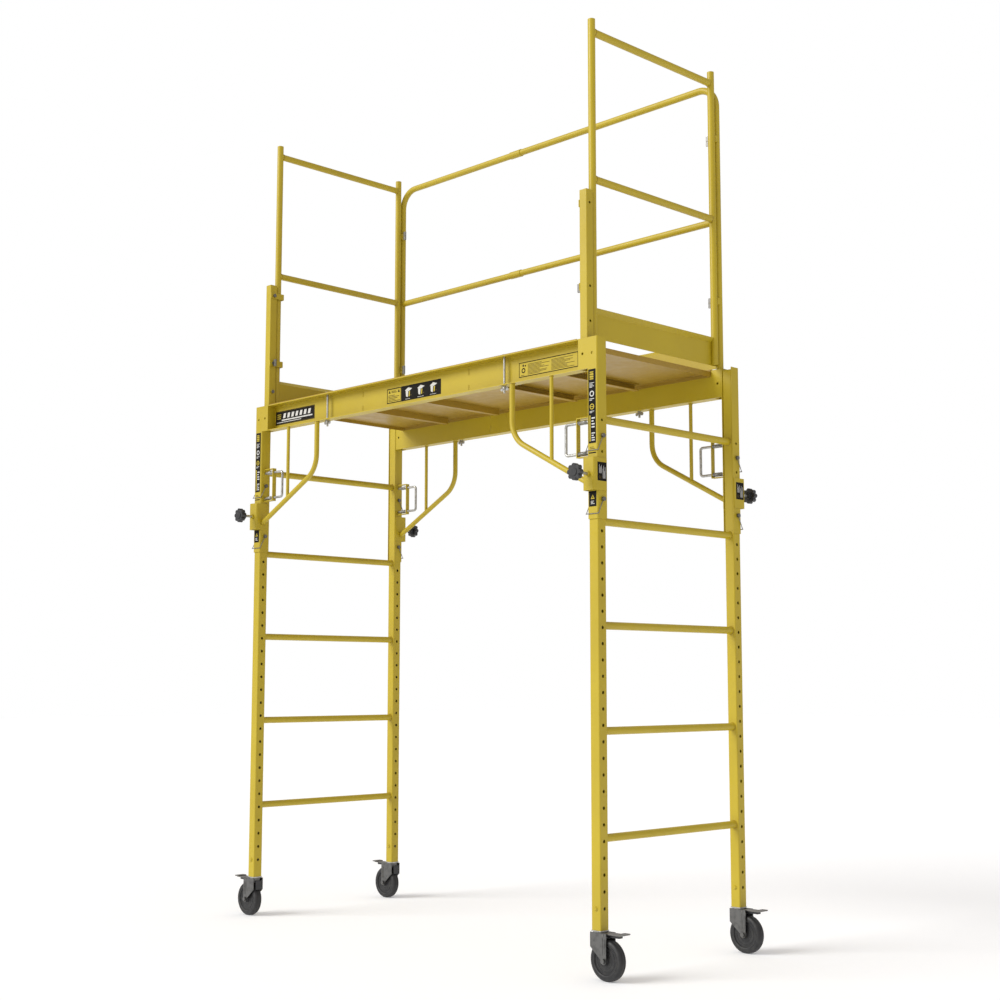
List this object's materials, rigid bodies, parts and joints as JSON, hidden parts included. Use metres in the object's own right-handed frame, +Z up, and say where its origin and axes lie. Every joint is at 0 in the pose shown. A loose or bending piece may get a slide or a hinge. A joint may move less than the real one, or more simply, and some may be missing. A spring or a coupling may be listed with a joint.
{
  "type": "baker scaffold",
  "caption": "Rolling scaffold with two perforated-post end frames on swivel casters and a height-adjustable guarded platform.",
  "frame": {"origin": "middle of the floor under the scaffold", "axes": "+X along the platform towards the right end, +Y towards the side with the long guardrail, +Z up"},
  "size_m": [2.025, 0.933, 3.105],
  "materials": {
    "yellow_paint": "semi-gloss safety yellow powder coat",
    "zinc": "bright zinc plate",
    "black_plastic": "moulded black plastic",
    "wheel_rubber": "matt black tread"
  },
  "bodies": {
    "end_frames": {"rungs": "yellow_paint", "caster_stems": "zinc", "caster_bolts": "yellow_paint", "post_lf": "yellow_paint", "post_rf": "yellow_paint", "post_lb": "yellow_paint", "post_rb": "yellow_paint"},
    "platform": {"rail_front": "yellow_paint", "rail_back": "yellow_paint", "deck_pan": "yellow_paint", "deck_ribs": "yellow_paint", "gusset_tubes": "yellow_paint", "gusset_struts": "yellow_paint", "pin_springs": "zinc", "snap_pins": "zinc", "holddown_rods": "zinc", "guardrail_stubs": "yellow_paint", "guardrail_clips": "yellow_paint", "end_guardrail_left": "yellow_paint", "end_guardrail_right": "yellow_paint", "toe_boards": "yellow_paint", "back_guardrail_left": "yellow_paint", "back_guardrail_right": "yellow_paint", "guardrail_couplers": "yellow_paint", "bracket_lf": "yellow_paint", "bracket_rf": "yellow_paint", "bracket_lb": "yellow_paint", "bracket_rb": "yellow_paint"},
    "caster_lf": {"caster_fork_lf": "zinc"},
    "caster_rf": {"caster_fork_rf": "zinc"},
    "caster_lb": {"caster_fork_lb": "zinc"},
    "caster_rb": {"caster_fork_rb": "zinc"},
    "wheel_body_lf": {"wheel_lf": "wheel_rubber"},
    "wheel_body_rf": {"wheel_rf": "wheel_rubber"},
    "wheel_body_lb": {"wheel_lb": "wheel_rubber"},
    "wheel_body_rb": {"wheel_rb": "wheel_rubber"},
    "pedal_lf": {"brake_pedal_lf": "zinc"},
    "pedal_rf": {"brake_pedal_rf": "zinc"},
    "pedal_lb": {"brake_pedal_lb": "zinc"},
    "pedal_rb": {"brake_pedal_rb": "zinc"},
    "pin_lf": {"u_pin_lf": "zinc"},
    "pin_rf": {"u_pin_rf": "zinc"},
    "pin_lb": {"u_pin_lb": "zinc"},
    "pin_rb": {"u_pin_rb": "zinc"},
    "knob_lf": {"clamp_knob_lf": "black_plastic"},
    "knob_rf": {"clamp_knob_rf": "black_plastic"},
    "knob_lb": {"clamp_knob_lb": "black_plastic"},
    "knob_rb": {"clamp_knob_rb": "black_plastic"},
    "upper_bail_lf": {"bail_upper_lf": "zinc"},
    "upper_bail_rf": {"bail_upper_rf": "zinc"},
    "upper_bail_lb": {"bail_upper_lb": "zinc"},
    "upper_bail_rb": {"bail_upper_rb": "zinc"},
    "lower_bail_lf": {"bail_lower_lf": "zinc"},
    "lower_bail_rf": {"bail_lower_rf": "zinc"},
    "lower_bail_lb": {"bail_lower_lb": "zinc"},
    "lower_bail_rb": {"bail_lower_rb": "zinc"},
    "nut_lf": {"wing_nut_lf": "zinc"},
    "nut_rf": {"wing_nut_rf": "zinc"},
    "nut_lb": {"wing_nut_lb": "zinc"},
    "nut_rb": {"wing_nut_rb": "zinc"}
  },
  "joints": [
    {"name": "platform_height", "type": "slide", "parent": "end_frames", "child": "platform", "axis": [0, 0, 1], "range_m": [-0.9144, 0]},
    {"name": "swivel_lf", "type": "hinge", "parent": "end_frames", "child": "caster_lf", "pos_m": [-0.9065, -0.3525, 0.14], "axis": [0, 0, 1], "continuous": true},
    {"name": "roll_lf", "type": "hinge", "parent": "caster_lf", "child": "wheel_body_lf", "pos_m": [-0.9385, -0.3525, 0.0635], "axis": [0, 1, 0], "continuous": true},
    {"name": "brake_lf", "type": "hinge", "parent": "caster_lf", "child": "pedal_lf", "pos_m": [-0.9365, -0.3525, 0.14], "axis": [0, -1, 0], "range_deg": [0, 12]},
    {"name": "pull_pin_lf", "type": "slide", "parent": "platform", "child": "pin_lf", "axis": [1, 0, 0], "range_m": [0, 0.028], "stiffness_N_per_m": 400, "springref_m": -0.012},
    {"name": "clamp_lf", "type": "hinge", "parent": "platform", "child": "knob_lf", "pos_m": [-0.9065, -0.4325, 1.565], "axis": [0, -1, 0], "continuous": true},
    {"name": "bail_upper_lf", "type": "hinge", "parent": "platform", "child": "upper_bail_lf", "pos_m": [-0.9065, -0.3525, 1.6892], "axis": [-1, 0, 0], "range_deg": [0, 75]},
    {"name": "bail_lower_lf", "type": "hinge", "parent": "platform", "child": "lower_bail_lf", "pos_m": [-0.9065, -0.3525, 1.486], "axis": [-1, 0, 0], "range_deg": [0, 75]},
    {"name": "wing_nut_lf", "type": "hinge", "parent": "platform", "child": "nut_lf", "pos_m": [-0.486, -0.3535, 1.905], "axis": [0, 0, 1], "continuous": true},
    {"name": "swivel_rf", "type": "hinge", "parent": "end_frames", "child": "caster_rf", "pos_m": [0.9065, -0.3525, 0.14], "axis": [0, 0, 1], "continuous": true},
    {"name": "roll_rf", "type": "hinge", "parent": "caster_rf", "child": "wheel_body_rf", "pos_m": [0.9385, -0.3525, 0.0635], "axis": [0, 1, 0], "continuous": true},
    {"name": "brake_rf", "type": "hinge", "parent": "caster_rf", "child": "pedal_rf", "pos_m": [0.9365, -0.3525, 0.14], "axis": [0, 1, 0], "range_deg": [0, 12]},
    {"name": "pull_pin_rf", "type": "slide", "parent": "platform", "child": "pin_rf", "axis": [-1, 0, 0], "range_m": [0, 0.028], "stiffness_N_per_m": 400, "springref_m": -0.012},
    {"name": "clamp_rf", "type": "hinge", "parent": "platform", "child": "knob_rf", "pos_m": [0.9065, -0.4325, 1.565], "axis": [0, -1, 0], "continuous": true},
    {"name": "bail_upper_rf", "type": "hinge", "parent": "platform", "child": "upper_bail_rf", "pos_m": [0.9065, -0.3525, 1.6892], "axis": [-1, 0, 0], "range_deg": [0, 75]},
    {"name": "bail_lower_rf", "type": "hinge", "parent": "platform", "child": "lower_bail_rf", "pos_m": [0.9065, -0.3525, 1.486], "axis": [-1, 0, 0], "range_deg": [0, 75]},
    {"name": "wing_nut_rf", "type": "hinge", "parent": "platform", "child": "nut_rf", "pos_m": [0.486, -0.3535, 1.905], "axis": [0, 0, 1], "continuous": true},
    {"name": "swivel_lb", "type": "hinge", "parent": "end_frames", "child": "caster_lb", "pos_m": [-0.9065, 0.3525, 0.14], "axis": [0, 0, 1], "continuous": true},
    {"name": "roll_lb", "type": "hinge", "parent": "caster_lb", "child": "wheel_body_lb", "pos_m": [-0.9385, 0.3525, 0.0635], "axis": [0, 1, 0], "continuous": true},
    {"name": "brake_lb", "type": "hinge", "parent": "caster_lb", "child": "pedal_lb", "pos_m": [-0.9365, 0.3525, 0.14], "axis": [0, -1, 0], "range_deg": [0, 12]},
    {"name": "pull_pin_lb", "type": "slide", "parent": "platform", "child": "pin_lb", "axis": [1, 0, 0], "range_m": [0, 0.028], "stiffness_N_per_m": 400, "springref_m": -0.012},
    {"name": "clamp_lb", "type": "hinge", "parent": "platform", "child": "knob_lb", "pos_m": [-0.9065, 0.4325, 1.565], "axis": [0, 1, 0], "continuous": true},
    {"name": "bail_upper_lb", "type": "hinge", "parent": "platform", "child": "upper_bail_lb", "pos_m": [-0.9065, 0.3525, 1.6892], "axis": [1, 0, 0], "range_deg": [0, 75]},
    {"name": "bail_lower_lb", "type": "hinge", "parent": "platform", "child": "lower_bail_lb", "pos_m": [-0.9065, 0.3525, 1.486], "axis": [1, 0, 0], "range_deg": [0, 75]},
    {"name": "wing_nut_lb", "type": "hinge", "parent": "platform", "child": "nut_lb", "pos_m": [-0.486, 0.3535, 1.905], "axis": [0, 0, 1], "continuous": true},
    {"name": "swivel_rb", "type": "hinge", "parent": "end_frames", "child": "caster_rb", "pos_m": [0.9065, 0.3525, 0.14], "axis": [0, 0, 1], "continuous": true},
    {"name": "roll_rb", "type": "hinge", "parent": "caster_rb", "child": "wheel_body_rb", "pos_m": [0.9385, 0.3525, 0.0635], "axis": [0, 1, 0], "continuous": true},
    {"name": "brake_rb", "type": "hinge", "parent": "caster_rb", "child": "pedal_rb", "pos_m": [0.9365, 0.3525, 0.14], "axis": [0, 1, 0], "range_deg": [0, 12]},
    {"name": "pull_pin_rb", "type": "slide", "parent": "platform", "child": "pin_rb", "axis": [-1, 0, 0], "range_m": [0, 0.028], "stiffness_N_per_m": 400, "springref_m": -0.012},
    {"name": "clamp_rb", "type": "hinge", "parent": "platform", "child": "knob_rb", "pos_m": [0.9065, 0.4325, 1.565], "axis": [0, 1, 0], "continuous": true},
    {"name": "bail_upper_rb", "type": "hinge", "parent": "platform", "child": "upper_bail_rb", "pos_m": [0.9065, 0.3525, 1.6892], "axis": [1, 0, 0], "range_deg": [0, 75]},
    {"name": "bail_lower_rb", "type": "hinge", "parent": "platform", "child": "lower_bail_rb", "pos_m": [0.9065, 0.3525, 1.486], "axis": [1, 0, 0], "range_deg": [0, 75]},
    {"name": "wing_nut_rb", "type": "hinge", "parent": "platform", "child": "nut_rb", "pos_m": [0.486, 0.3535, 1.905], "axis": [0, 0, 1], "continuous": true}
  ]
}
